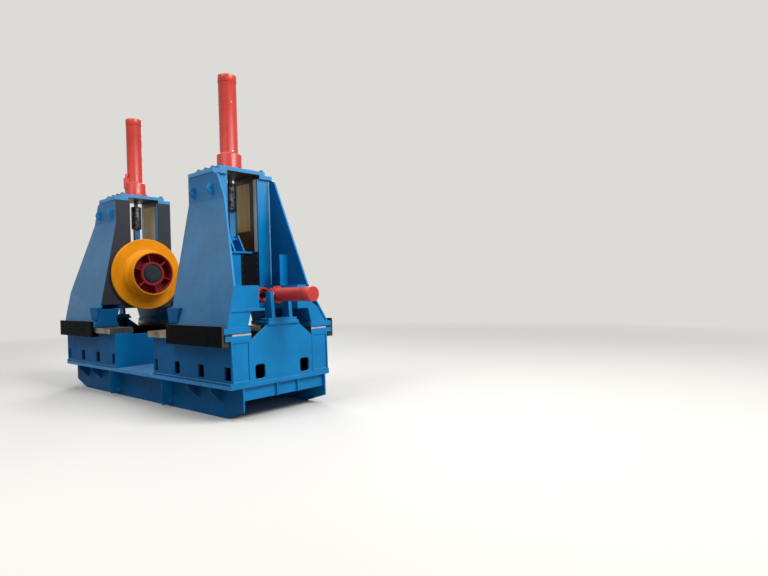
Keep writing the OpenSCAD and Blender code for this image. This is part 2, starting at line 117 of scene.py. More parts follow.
class UncoilerStage(bpy.types.PropertyGroup):
    """Floor, lamps and camera"""

    floor: bpy.props.FloatVectorProperty(
        name="Floor", description="Colour of the studio floor",
        subtype="COLOR", min=0, max=1, default=linear("#d3d1cc"))
    key: bpy.props.FloatProperty(
        name="Key lamp", description="Strength of the large lamp in front of the near tower",
        unit="POWER", min=0, max=5000, default=2150)
    fill: bpy.props.FloatProperty(
        name="Fill lamps", description="Strength of each lamp on the other sides",
        unit="POWER", min=0, max=5000, default=620)
    air: bpy.props.FloatProperty(
        name="Ambient light", description="Strength of the even light from all sides",
        min=0, max=2, default=0.30)
    lens: bpy.props.FloatProperty(
        name="Lens", description="Focal length of the camera in millimetres",
        subtype="DISTANCE_CAMERA", min=15, max=120, default=26.27)


# Inputs and output of a Mix node that mixes colours
SHARE, FIRST, SECOND, MIXED = 0, 6, 7, 2


def add_node(tree, kind, fields=None, out=None):
    """Adds a node and fills its settings and inputs, by name or number: a socket is
    linked and any other value is set. Returns the node, or its output out."""
    node = tree.nodes.new(kind)
    for key, value in (fields or {}).items():
        if isinstance(value, bpy.types.NodeSocket):
            tree.links.new(value, node.inputs[key])
        elif isinstance(key, str) and hasattr(node, key):
            setattr(node, key, value)
        else:
            socket = node.inputs[key]
            lacks_alpha = socket.type == "RGBA" and len(value) == 3
            socket.default_value = (*value, 1.0) if lacks_alpha else value
    return node if out is None else node.outputs[out]


def new_material(name):
    """An empty node material, its tree and the object-space coordinate."""
    material = bpy.data.materials.new(name)
    material.use_nodes = True
    tree = material.node_tree
    tree.nodes.clear()
    return material, tree, add_node(tree, "ShaderNodeTexCoord", out="Object")


def shade(colour, factor):
    """A linear colour made darker or lighter by a factor."""
    return tuple(min(1.0, v * factor) for v in colour)


def seen_rays(tree):
    """1 for rays that show a surface or the backdrop, directly or in a mirror or glass."""
    path = add_node(tree, "ShaderNodeLightPath").outputs
    mirror = add_node(tree, "ShaderNodeMath", {
        "operation": "MAXIMUM", 0: path["Is Glossy Ray"], 1: path["Is Transmission Ray"]}, 0)
    return add_node(tree, "ShaderNodeMath", {
        "operation": "MAXIMUM", 0: path["Is Camera Ray"], 1: mirror}, 0)


def in_box(tree, place, centre, half):
    """1 inside a box and its mirror image across Y, else 0."""
    mirrored = add_node(tree, "ShaderNodeVectorMath", {"operation": "ABSOLUTE", 0: place}, 0)
    offset = add_node(tree, "ShaderNodeVectorMath", {
        "operation": "SUBTRACT", 0: mirrored, 1: centre}, 0)
    distance = add_node(tree, "ShaderNodeVectorMath", {"operation": "ABSOLUTE", 0: offset}, 0)
    share = add_node(tree, "ShaderNodeVectorMath", {
        "operation": "DIVIDE", 0: distance, 1: half}, 0)
    parts = add_node(tree, "ShaderNodeSeparateXYZ", {"Vector": share}).outputs
    wide = add_node(tree, "ShaderNodeMath", {
        "operation": "MAXIMUM", 0: parts["X"], 1: parts["Y"]}, 0)
    most = add_node(tree, "ShaderNodeMath", {"operation": "MAXIMUM", 0: wide, 1: parts["Z"]}, 0)
    return add_node(tree, "ShaderNodeMath", {"operation": "LESS_THAN", 0: most, 1: 1.0}, 0)


# Middle and half size of the closed bed, in metres, a little inside its walls, where the enamel
# turns to near-black painted shade
BED_MIDDLE, BED_HALF = (0.0, 1.435, 0.663), (0.691, 0.857, 0.249)


def machine_enamel(name, colour, dust=0.3, roughness=0.38, waviness=0.35, grime="#1d2023",
                   dusty=(0.35, 0.95), powder="#a9a69c", gloss=0.22, shade_in_bed=False,
                   pale_from=None, dust_and_light_heights=None):
    """Alkyd machine enamel, sprayed on welded plate: an even semi-gloss coat that
    shows the plate's slight waves, gathers pale dust on top and dirt near the floor."""
    material, tree, place = new_material(name)
    height = add_node(tree, "ShaderNodeSeparateXYZ", {"Vector": place}, "Z")
    # Spray passes differ in depth over about half a metre
    cloud = add_node(tree, "ShaderNodeTexNoise", {
        "Vector": place, "Scale": per_metre(520), "Detail": 4.0, "Roughness": 0.55}, "Fac")
    passes = add_node(tree, "ShaderNodeMapRange", {
        "Value": cloud, "From Min": 0.35, "From Max": 0.68}, "Result")
    painted = add_node(tree, "ShaderNodeMix", {
        "data_type": "RGBA", SHARE: passes,
        FIRST: shade(colour, 0.84), SECOND: shade(colour, 1.1)}, MIXED)
    # Dirt that ran down and dried: streaks 40 mm apart, ten times as long, which thin
    # out from the floor to 1.2 m
    stretched = add_node(tree, "ShaderNodeMapping", {
        "Vector": place, "Scale": (1.0, 1.0, 0.1)}, "Vector")
    streak = add_node(tree, "ShaderNodeTexNoise", {
        "Vector": stretched, "Scale": per_metre(40), "Detail": 5.0, "Roughness": 0.6}, "Fac")
    runs = add_node(tree, "ShaderNodeMapRange", {
        "Value": streak, "From Min": 0.56, "From Max": 0.78}, "Result")
    splashed = add_node(tree, "ShaderNodeMapRange", {
        "Value": height, "From Min": 1.2, "From Max": 0.0, "To Min": 0.1163,
        "To Max": 0.5814}, "Result")
    dirt = add_node(tree, "ShaderNodeMath", {"operation": "MULTIPLY", 0: runs, 1: splashed}, 0)
    dirty = tuple(0.6 * paint + 0.4 * soil for paint, soil in zip(colour, linear(grime)))
    soiled = add_node(tree, "ShaderNodeMix", {
        "data_type": "RGBA", SHARE: dirt, FIRST: painted, SECOND: dirty}, MIXED)
    # Dust settles on faces that look up, in soft patches 90 mm across
    normal = add_node(tree, "ShaderNodeNewGeometry", out="Normal")
    facing = add_node(tree, "ShaderNodeSeparateXYZ", {"Vector": normal}, "Z")
    patch = add_node(tree, "ShaderNodeTexNoise", {
        "Vector": place, "Scale": per_metre(90), "Detail": 6.0, "Roughness": 0.65}, "Fac")
    ranges = [(facing, *dusty), (patch, 0.05, 0.7)]
    if dust_and_light_heights:
        # Dust and painted light: side plates are palest half way up, fading towards the top and
        # the foot
        clean, full, thick, wiped = dust_and_light_heights
        ranges += [(height, clean, full), (height, wiped, thick)]
    settled = dust
    for source, none, most in ranges:
        share = add_node(tree, "ShaderNodeMapRange", {
            "Value": source, "From Min": none, "From Max": most}, "Result")
        settled = add_node(tree, "ShaderNodeMath", {
            "operation": "MULTIPLY", 0: share, 1: settled}, 0)
    coats = [(settled, powder)]
    if pale_from:
        # Pale blue veil, painted light from above, that thickens over the last 0.7 m below the top
        veil = add_node(tree, "ShaderNodeMapRange", {
            "Value": height, "From Min": pale_from, "From Max": pale_from + 0.7,
            "To Max": 0.2}, "Result")
        coats.append((veil, "#9cc4e0"))
    if shade_in_bed:
        # Painted shade inside the closed bed: near-black
        coats.append((in_box(tree, place, BED_MIDDLE, BED_HALF), "#08090b"))
    final = soiled
    for share, tone in coats:
        final = add_node(tree, "ShaderNodeMix", {
            "data_type": "RGBA", SHARE: share, FIRST: final, SECOND: linear(tone)}, MIXED)
    worn = add_node(tree, "ShaderNodeMapRange", {
        "Value": patch, "From Min": 0.3, "From Max": 0.75,
        "To Min": roughness - 0.06, "To Max": roughness + 0.14}, "Result")
    # Rolled plate waves of about 160 mm and orange peel, drawn at 9 mm so it shows
    wave = add_node(tree, "ShaderNodeTexNoise", {
        "Vector": place, "Scale": per_metre(160), "Detail": 1.0}, "Fac")
    peel = add_node(tree, "ShaderNodeTexNoise", {
        "Vector": place, "Scale": per_metre(9), "Detail": 2.0}, "Fac")
    plate = add_node(tree, "ShaderNodeBump", {
        "Height": wave, "Strength": waviness, "Distance": 0.012}, "Normal")
    skin = add_node(tree, "ShaderNodeBump", {
        "Height": peel, "Normal": plate, "Strength": 0.12, "Distance": 0.001}, "Normal")
    shader = add_node(tree, "ShaderNodeBsdfPrincipled", {
        "Base Color": final, "Roughness": worn, "IOR": 1.5, "Specular IOR Level": gloss,
        "Normal": skin}, "BSDF")
    add_node(tree, "ShaderNodeOutputMaterial", {"Surface": shader})
    return material


def steel(name, colour, roughness, film="#3a2f22", film_share=0.3, grain=(1.0, 1.0, 1.0),
          mark=30, spot=140):
    """Bare machined steel: grey metal with grinding marks along one axis and a
    thin film of oil and dirt that turns it brown in patches."""
    material, tree, place = new_material(name)
    # Real grinding marks are under a millimetre wide: they are drawn mark wide so that
    # they show. The film lies in patches spot wide
    drawn = add_node(tree, "ShaderNodeMapping", {"Vector": place, "Scale": grain}, "Vector")
    ground = add_node(tree, "ShaderNodeTexNoise", {
        "Vector": drawn, "Scale": per_metre(mark), "Detail": 8.0, "Roughness": 0.7}, "Fac")
    patch = add_node(tree, "ShaderNodeTexNoise", {
        "Vector": place, "Scale": per_metre(spot), "Detail": 5.0, "Roughness": 0.6}, "Fac")
    bright = add_node(tree, "ShaderNodeMapRange", {
        "Value": ground, "From Min": 0.3, "From Max": 0.7}, "Result")
    metal = add_node(tree, "ShaderNodeMix", {
        "data_type": "RGBA", SHARE: bright,
        FIRST: shade(colour, 0.8), SECOND: shade(colour, 1.15)}, MIXED)
    filmed = add_node(tree, "ShaderNodeMapRange", {
        "Value": patch, "From Min": 0.35, "From Max": 0.75, "To Max": film_share * 2}, "Result")
    final = add_node(tree, "ShaderNodeMix", {
        "data_type": "RGBA", SHARE: filmed, FIRST: metal, SECOND: linear(film)}, MIXED)
    rough = add_node(tree, "ShaderNodeMapRange", {
        "Value": patch, "From Min": 0.3, "From Max": 0.7,
        "To Min": roughness - 0.08, "To Max": roughness + 0.12}, "Result")
    marks = add_node(tree, "ShaderNodeBump", {
        "Height": ground, "Strength": 0.2, "Distance": 0.0008}, "Normal")
    shader = add_node(tree, "ShaderNodeBsdfPrincipled", {
        "Base Color": final, "Metallic": 1.0, "Roughness": rough, "Normal": marks}, "BSDF")
    add_node(tree, "ShaderNodeOutputMaterial", {"Surface": shader})
    return material


def grease(name):
    """Bronze guide strip under old lubricating grease: olive brown, smeared up and
    down by the head, glossy where the grease is thick."""
    material, tree, place = new_material(name)
    # Smears 45 mm wide, drawn out to eight times that by the head's travel
    smeared = add_node(tree, "ShaderNodeMapping", {
        "Vector": place, "Scale": (1.0, 1.0, 0.12)}, "Vector")
    smear = add_node(tree, "ShaderNodeTexNoise", {
        "Vector": smeared, "Scale": per_metre(45), "Detail": 6.0, "Roughness": 0.6}, "Fac")
    wiped = add_node(tree, "ShaderNodeMapRange", {
        "Value": smear, "From Min": 0.3, "From Max": 0.7}, "Result")
    tone = add_node(tree, "ShaderNodeMix", {
        "data_type": "RGBA", SHARE: wiped,
        FIRST: linear("#ad8f4c"), SECOND: linear("#d6b266")}, MIXED)
    rough = add_node(tree, "ShaderNodeMapRange", {
        "Value": smear, "From Min": 0.3, "From Max": 0.7, "To Min": 0.22, "To Max": 0.5}, "Result")
    ridges = add_node(tree, "ShaderNodeBump", {
        "Height": smear, "Strength": 0.35, "Distance": 0.002}, "Normal")
    shader = add_node(tree, "ShaderNodeBsdfPrincipled", {
        "Base Color": tone, "Roughness": rough, "Normal": ridges}, "BSDF")
    add_node(tree, "ShaderNodeOutputMaterial", {"Surface": shader})
    return material


def black_grease(name):
    """Old black grease on steel: near-black brown, wet-looking where it is thick and dull where
    dust has stuck to it. Under the caps the same material is painted shade."""
    material, tree, place = new_material(name)
    # Lumps and wipes about 35 mm across
    lump = add_node(tree, "ShaderNodeTexNoise", {
        "Vector": place, "Scale": per_metre(35), "Detail": 6.0, "Roughness": 0.62}, "Fac")
    stuck = add_node(tree, "ShaderNodeMapRange", {
        "Value": lump, "From Min": 0.35, "From Max": 0.72}, "Result")
    tone = add_node(tree, "ShaderNodeMix", {
        "data_type": "RGBA", SHARE: stuck,
        FIRST: linear("#15120f"), SECOND: linear("#3a2a1c")}, MIXED)
    rough = add_node(tree, "ShaderNodeMapRange", {
        "Value": lump, "From Min": -0.1, "From Max": 1.2}, "Result")
    lumps = add_node(tree, "ShaderNodeBump", {
        "Height": lump, "Strength": 0.4, "Distance": 0.002}, "Normal")
    shader = add_node(tree, "ShaderNodeBsdfPrincipled", {
        "Base Color": tone, "Roughness": rough, "Normal": lumps}, "BSDF")
    add_node(tree, "ShaderNodeOutputMaterial", {"Surface": shader})
    return material


MATERIALS = {}


def make_materials(finish):
    """Makes the stand's finishes, each under the short name that SLOTS lists."""
    blue, dust = tuple(finish.blue), finish.dust
    MATERIALS.update(
        # Sprayed enamel: an even semi-gloss blue in soft clouds, over slightly wavy plate, and
        # near-black painted shade inside the closed bed
        blue=machine_enamel("Blue machine enamel", blue, dust, shade_in_bed=True),
        # The same coat under settled dust, with painted sheen: greyer and duller half way up the
        # plate. On the heads' columns it stands as painted shade
        side_blue=machine_enamel(
            "Blue machine enamel, dusty side with painted light", tuple(finish.side_blue), dust * 1.2, 0.46,
            dusty=(-0.6, 0.4), powder="#8cabb5", dust_and_light_heights=(2.95, 2.25, 2.0, 0.4)),
        # The same coat, paler towards the tower's top: painted light from above
        top_blue=machine_enamel("Blue machine enamel, pale top", blue, dust, pale_from=2.35),
        # The same coat darkened as painted shade: deep blue, hardly any sheen
        bed_blue=machine_enamel(
            "Blue machine enamel, painted shade", linear("#0d568c"), dust, 0.44,
            grime="#0b1826", gloss=0.04, shade_in_bed=True),
        # Painted highlight on a weld: a bright pale line
        weld=machine_enamel(
            "Weld bead with painted highlight", linear("#b4dcee"), 0.0, 0.4, gloss=0.3),
        # Enamel on turned tube: smooth, and the glossiest of the paints
        red=machine_enamel(
            "Red cylinder enamel", tuple(finish.red), dust * 0.6, 0.36, 0.12, gloss=0.65),
        # Enamel on a turned disc: smooth and warm, with a faint sheen
        yellow=machine_enamel(
            "Yellow flange enamel", tuple(finish.yellow), dust * 0.15, 0.42, 0.1, "#4a3212",
            gloss=0.15),
        # Brushed primer: dull dark red
        maroon=machine_enamel(
            "Maroon oxide primer", tuple(finish.maroon), dust * 0.4, 0.5, 0.15),
        # Sprayed on ground plate: flat black, browned by oil near the floor
        black=machine_enamel(
            "Black wear plate enamel", linear("#101318"), 0.0, 0.5, 0.15, "#33291f", gloss=0.05),
        # The same on the keepers under oil: the darkest face outside, without sheen
        oiled=machine_enamel(
            "Oiled black keeper enamel", linear("#07090d"), 0.0, 0.5, 0.15, "#15120e",
            gloss=0.02),
        # Painted shade on the deck inside the bed: dull near-black
        primer=machine_enamel(
            "Painted shade on the bed deck", linear("#0a0d12"), 0.0, 0.6, 0.1, "#050607", gloss=0.0),
        # Dry-film coating, sprayed: dark blue-grey with a soft sheen
        graphite=machine_enamel(
            "Graphite wear plate coating", linear("#262b33"), dust * 0.2, 0.42, 0.15, "#33291f",
            gloss=0.3),
        # Turned steel under oil: dark metal with broad soft lights
        dark=steel("Oiled dark steel", linear("#3c3f44"), 0.45, "#141312", 0.4),
        # Blackened and scuffed: grey metal breaks through black in 45 mm patches
        worn=steel("Worn blackened steel", linear("#6f7078"), 0.42, "#17171a", 0.7, spot=45),
        # Enamel on a turned spindle end: smooth dark grey
        hub=machine_enamel(
            "Dark grey spindle enamel", linear("#2c3335"), dust * 0.2, 0.48, 0.1, gloss=0.15),
        # Hard chrome, ground and polished: a bright mirror with few stains
        chrome=steel("Chromed rod steel", linear("#d4d6d8"), 0.16, "#6a6358", 0.08),
        # Ground along the travel: beige grey steel with long streaks and brown oil
        slideway=steel(
            "Ground slideway steel", linear("#958e7e"), 0.36, "#4f3b26", 0.5,
            (1.0, 0.06, 1.0), 18),
        # Bright steel strip with its reflection painted in: an even off-white edge
        strip=machine_enamel(
            "Pale wear strip, painted reflection", linear("#e9e4d8"), 0.0, 0.45, 0.1, "#8b8170"),
        # Forged and oil-blackened: dark grey metal with dull lights
        bolt=steel("Blackened bolt steel", linear("#63656a"), 0.45, "#23211e", 0.3),
        grease=grease("Greased bronze strip"),
        # Black grease, also used as painted shade under the caps
        grime=black_grease("Black grease and painted shade"),
    )


# The finish of each node, by the start of its name
NODE_FINISH = {
    "sub_": "blue", "girder_": "blue", "bed_end_": "blue", "rails_": "slideway",
    "bracket_": "blue", "traverse_": "red", "uprights_": "top_blue",
    "side_entry_": "side_blue", "side_exit_": "blue", "foot_box_": "blue",
    "top_plate_": "top_blue", "face_plates_": "graphite", "keepers_": "oiled",
    "lift_barrel_": "red", "head_": "blue", "lift_rod_": "worn",
    "coil_flange_": "yellow", "spider_": "maroon", "spindle_": "hub",
}

# Places that part the second finishes, in metres: the towers' inner faces, where the
# sill turns black, the underside of the caps, where the lift rods turn bright, the
# traverse axis, and the head's shelf and column
TOWER_INNER = 1.059
SILL_BLACK = 1.25
CAP_UNDERSIDE = 2.935
CHROME_FROM = 2.9
TRAVERSE_X, TRAVERSE_Z = 0.015, 1.418
SHELF_TOP, COLUMN_FOOT = 1.98, 2.21


def at_tower_inner(point):
    """True on the towers' faces that look at the coil."""
    return abs(abs(point.y) - TOWER_INNER) < 0.005


# Faces that take a second finish: start of the node's name, finish, and the test
# on the middle and the normal of a face
SECOND_FINISH = (
    # All but the face of the leaning plate, and the nose box at its foot in painted shade
    ("side_entry_", "blue", lambda p, n: n.x > -0.7),
    ("side_entry_", "bed_blue", lambda p, n: p.x < -0.69 and p.z < 1.3 and abs(p.y) < 1.31),
    # Ends of the window under the caps in black, as painted shade
    ("uprights_", "grime", lambda p, n: p.z > CAP_UNDERSIDE and abs(p.x) < 0.3),
    # Inner faces of the sill in graphite, and of the feet in painted shade
    ("foot_box_", "graphite", lambda p, n: at_tower_inner(p) and p.z > SILL_BLACK),
    ("foot_box_", "bed_blue", lambda p, n: at_tower_inner(p) and p.z < SILL_BLACK),
    # Inner face of the exit plate in painted shade
    ("side_exit_", "bed_blue", lambda p, n: n.x < -0.7),
    # Underside of the cap plate in black, as painted shade
    ("top_plate_", "grime", lambda p, n: n.z < -0.9),
    # Entry-facing bed walls and the cut edges of the hand holes, in painted shade
    ("girder_", "bed_blue", lambda p, n: n.x < -0.9 and p.x < 0),
    ("girder_", "bed_blue",
     lambda p, n: 0.7 < abs(p.x) < 0.724 and abs(n.x) < 0.1 and 0.46 < p.z < 0.64),
    # Entry web and the sides of its gussets, in painted shade
    ("sub_web_entry", "bed_blue",
     lambda p, n: n.x < -0.9 or (abs(n.y) > 0.9 and 1.2 < abs(p.y) < 2)),
    # Bare rods, and the trunnion ends in the bracket's blue
    ("lift_rod_", "chrome", lambda p, n: p.z > CHROME_FROM),
    ("traverse_rod_", "dark",
     lambda p, n: math.hypot(p.x - TRAVERSE_X, p.z - TRAVERSE_Z) < 0.04),
    ("traverse_barrel_", "blue", lambda p, n: abs(p.x - TRAVERSE_X) > 0.15 and abs(n.x) > 0.9),
    # Bare top edge and greased ends of the keepers
    ("keepers_", "slideway", lambda p, n: n.z > 0.9 and p.z > 1.08),
    ("keepers_", "grime", lambda p, n: abs(n.y) > 0.9 and abs(p.y) > 2.3),
    # Black on the head's top beyond the shelf, and the head's column in the dusty blue as painted
    # shade
    ("head_", "grime", lambda p, n: n.z > 0.9 and p.x > 0.1 and abs(p.z - SHELF_TOP) < 0.01),
    ("head_", "side_blue", lambda p, n: p.z > COLUMN_FOOT and abs(p.x) < 0.075),
)


def grind_edges(piece, radius):
    """Rounds the sharp edges of a piece, as grinding before painting leaves them."""
    edge = piece.modifiers.new("Ground edge", "BEVEL")
    edge.width, edge.segments, edge.limit_method = radius, 2, "ANGLE"
    edge.angle_limit = math.radians(40)
    edge.harden_normals = True


def add_piece(name, mesh, body, finish, bevel=0.0):
    """Makes an object of a bmesh, paints it, rounds its edges and lets it ride on a body."""
    data = bpy.data.meshes.new(name)
    bmesh.ops.recalc_face_normals(mesh, faces=mesh.faces)
    mesh.to_mesh(data)
    mesh.free()
    piece = bpy.data.objects.new(name, data)
    bpy.context.scene.collection.objects.link(piece)
    data.materials.append(MATERIALS[finish])
    if bevel:
        grind_edges(piece, bevel)
    for polygon in data.polygons:
        polygon.use_smooth = True
    data.set_sharp_from_angle(angle=math.radians(35))
    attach(piece, body)
    return piece


def to_side(mesh, side):
    """Mirrors a near-side bmesh when it is for the far side."""
    if SIDES[side] < 0:
        bmesh.ops.scale(mesh, vec=(1, -1, 1), verts=mesh.verts)
    return mesh


def slab(mesh, low, high):
    """Adds a plate with its six faces to a bmesh."""
    size = [b - a for a, b in zip(low, high)]
    centre = Vector([(a + b) / 2 for a, b in zip(low, high)])
    bmesh.ops.create_cube(mesh, size=1.0,
                          matrix=Matrix.Translation(centre) @ Matrix.Diagonal((*size, 1.0)))


def angles(count, start=0.0):
    """Angles that part a full turn evenly, in radians."""
    return [start + math.tau * i / count for i in range(count)]


def turned(mesh, profile, frame_matrix, steps=48):
    """Spins a [radius, height] profile about the Z axis of frame_matrix."""
    rings = []
    for radius, height in profile:
        if radius < 1e-6:
            rings.append([mesh.verts.new(frame_matrix @ Vector((0, 0, height)))])
            continue
        rings.append([mesh.verts.new(frame_matrix @ Vector((
            radius * math.cos(a), radius * math.sin(a), height))) for a in angles(steps)])
    for a, b in zip(rings, rings[1:]):
        for i in range(steps):
            j = (i + 1) % steps
            corners = [a[i % len(a)], a[j % len(a)], b[j % len(b)], b[i % len(b)]]
            unique = [v for n, v in enumerate(corners) if v not in corners[:n]]
            if len(unique) > 2:
                mesh.faces.new(unique)


def hex_bolt(mesh, at, axis, flats, turn=0.0):
    """Adds a hex head with chamfered crown on a round washer, standing on at along axis."""
    up = Vector(axis).to_track_quat("Z", "Y").to_matrix().to_4x4()
    base = Matrix.Translation(Vector(at)) @ up @ Matrix.Rotation(turn, 4, "Z")
    washer, thick = flats * 0.68, flats * 0.08
    corner, tall, chamfer = flats / math.sqrt(3), flats * 0.5, 0.86
    turned(mesh, [(0, 0), (washer, 0), (washer, thick), (0, thick)], base, 20)
    turned(mesh, [(0, thick), (corner, thick), (corner, tall * chamfer),
                  (corner * chamfer, tall), (0, tall)], base, 6)


def prism(mesh, outline, y0, y1):
    """Adds a plate whose outline is given as (x, z) corners, from y0 to y1."""
    rings = [[mesh.verts.new((x, y, z)) for x, z in outline] for y in (y0, y1)]
    mesh.faces.new(rings[0])
    mesh.faces.new(list(reversed(rings[1])))
    for i in range(len(outline)):
        j = (i + 1) % len(outline)
        mesh.faces.new((rings[0][i], rings[1][i], rings[1][j], rings[0][j]))


class STAND_OT_paint_frame(bpy.types.Operator):
    """Makes the materials, paints every plate and turned piece, and rounds its edges"""

    bl_idname = "stand.paint_frame"
    bl_label = "Paint Frame"

    def execute(self, context):
        finish = context.scene.uncoiler_finish
        make_materials(finish)
        for name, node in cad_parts.items():
            kind = next(v for k, v in NODE_FINISH.items() if name.startswith(k))
            node.data.materials.clear()
            node.data.materials.append(MATERIALS[kind])
            for face in node.data.polygons:
                face.material_index = 0
            for start, second, test in SECOND_FINISH:
                if name.startswith(start):
                    node.data.materials.append(MATERIALS[second])
                    for face in node.data.polygons:
                        if test(face.center, face.normal):
                            face.material_index = len(node.data.materials) - 1
            join = node.modifiers.new("Joined corners", "WELD")
            join.merge_threshold = 0.0002
            grind_edges(node, finish.edge)
        return {"FINISHED"}


class STAND_OT_plate_bolts(bpy.types.Operator):
    """Bolts the cylinder plates down on the tower caps"""

    bl_idname = "stand.plate_bolts"
    bl_label = "Plate Bolts"

    def execute(self, context):
        flats = context.scene.uncoiler_fasteners.plate_bolt
        low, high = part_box("top_plate_near")
        inset, rows = flats * 0.75, 4
        # Each head was left at its own turn
        rand = random.Random(4)
        for side in SIDES:
            mesh = bmesh.new()
            for i in range(rows):
                y = low.y + inset + (high.y - low.y - 2 * inset) * i / (rows - 1)
                for x in (low.x + inset, high.x - inset):
                    hex_bolt(mesh, (x, y, high.z), (0, 0, 1), flats, rand.random())
            add_piece(f"plate_bolts_{side}", to_side(mesh, side), f"tower_{side}_body", "bolt")
        return {"FINISHED"}


class STAND_OT_lift_fittings(bpy.types.Operator):
    """Adds the flange bolts, port blocks and plugs of the lift cylinders"""

    bl_idname = "stand.lift_fittings"
    bl_label = "Lift Cylinder Fittings"

    def execute(self, context):
        flats = context.scene.uncoiler_fasteners.flange_bolt
        low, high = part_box("lift_barrel_near")
        centre = (low + high) / 2
        # Radii of the cylinder's foot flange, of the collar on it and of the tube
        flange, collar, tube = (high.x - low.x) / 2, 0.158, 0.116
        flange_thick, bolt_circle = 0.03, (flange + collar) / 2
        # Turn about the cylinder, height and width of the plug over the collar and of
        # the bleed screw higher up
        plugs = ((-1.72, 0.25, 0.028), (-1.80, 0.89, 0.015))
        sunk, plug_tall = 0.004, 0.015
        # Port block from the tube outward, and the threaded boss on top of it
        block_low, block_high = (0.10, -0.026, 0.130), (0.176, 0.026, 0.300)
        boss_at, boss_wide, boss_foot, boss_top = 0.140, 0.020, 0.295, 0.370
        port_turn = {"near": 41, "far": 180}
        for side in SIDES:
            body = f"tower_{side}_body"
            mesh = bmesh.new()
            for a in angles(8, 0.2):
                at = (centre.x + bolt_circle * math.cos(a),
                      centre.y + bolt_circle * math.sin(a), low.z + flange_thick)
                hex_bolt(mesh, at, (0, 0, 1), flats, a)
            add_piece(f"flange_bolts_{side}", to_side(mesh, side), body, "bolt")
            mesh = bmesh.new()
            axis = Matrix.Translation((centre.x, centre.y, 0))
            for turn, height, width in plugs:
                out = axis @ Matrix.Rotation(turn, 4, "Z") @ Matrix.Translation(
                    (tube - sunk, 0, low.z + height)) @ Matrix.Rotation(math.pi / 2, 4, "Y")
                turned(mesh, [(0, 0), (width / 2, 0), (width / 2, plug_tall - 0.003),
                              (width * 0.42, plug_tall), (0, plug_tall)], out, 24)
                hex_bolt(mesh, out @ Vector((0, 0, plug_tall)), out.to_3x3() @ Vector((0, 0, 1)),
                         width * 0.55)
            add_piece(f"port_plugs_{side}", to_side(mesh, side), body, "chrome")
            # The port block stands on the entry side of the far cylinder, and is turned
            # in towards the coil on the near one
            mesh = bmesh.new()
            slab(mesh, block_low, block_high)
            turned(mesh, [(0, boss_foot), (boss_wide, boss_foot), (boss_wide, boss_top - 0.005),
                          (boss_wide - 0.003, boss_top), (0, boss_top)],
                   Matrix.Translation((boss_at, 0, 0)), 24)
            turn = Matrix.Rotation(math.radians(port_turn[side]), 3, "Z")
            bmesh.ops.rotate(mesh, matrix=turn, verts=mesh.verts)
            bmesh.ops.translate(mesh, vec=(centre.x, centre.y, low.z), verts=mesh.verts)
            add_piece(f"port_block_{side}", to_side(mesh, side), body, "red", 0.002)
        return {"FINISHED"}


class STAND_OT_guide_strips(bpy.types.Operator):
    """Fits the greased bronze and pale steel strips on the window jambs"""

    bl_idname = "stand.guide_strips"
    bl_label = "Guide Strips"

    def execute(self, context):
        thick = context.scene.uncoiler_fasteners.strip
        low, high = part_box("uprights_near")
        # Olive grease shows from smear to full. Below and beside it the strip is near-black, and
        # above it, under the cap, near-black is painted shade
        bottom, smear, full, top = low.z + 0.02, 2.27, 2.905, high.z - 0.051
        # Half width of the window, and depths along Y from the window's inner side
        jamb, seam = 0.226, 0.001
        lip, front, back, strip_front, rear = -1.100, -1.144, -1.508, -1.510, -1.573
        # The near jamb has a black band between its grease and its pale strip
        for side, band in (("near", -1.431), ("far", -1.507)):
            for name, finish, deep, shallow, foot, head in (
                ("grease", "grease", band, front, smear, full),
                ("dark_foot", "grime", band, front, bottom, smear - seam),
                # Under the cap: near-black painted shade
                ("shade_head", "grime", back, lip, full + seam, top),
                ("dark_edge", "grime", back, band - seam, bottom, full),
                # Pale strip with its reflection painted in
                ("steel", "strip", rear, strip_front, bottom, top),
            ):
                mesh = bmesh.new()
                for s in (-1, 1):
                    a, b = sorted((s * jamb, s * (jamb - thick)))
                    slab(mesh, (a, deep, foot), (b, shallow, head))
                add_piece(f"{name}_strips_{side}", to_side(mesh, side), f"tower_{side}_body",
                          finish, 0.001 if name in ("grease", "steel") else 0)
        return {"FINISHED"}


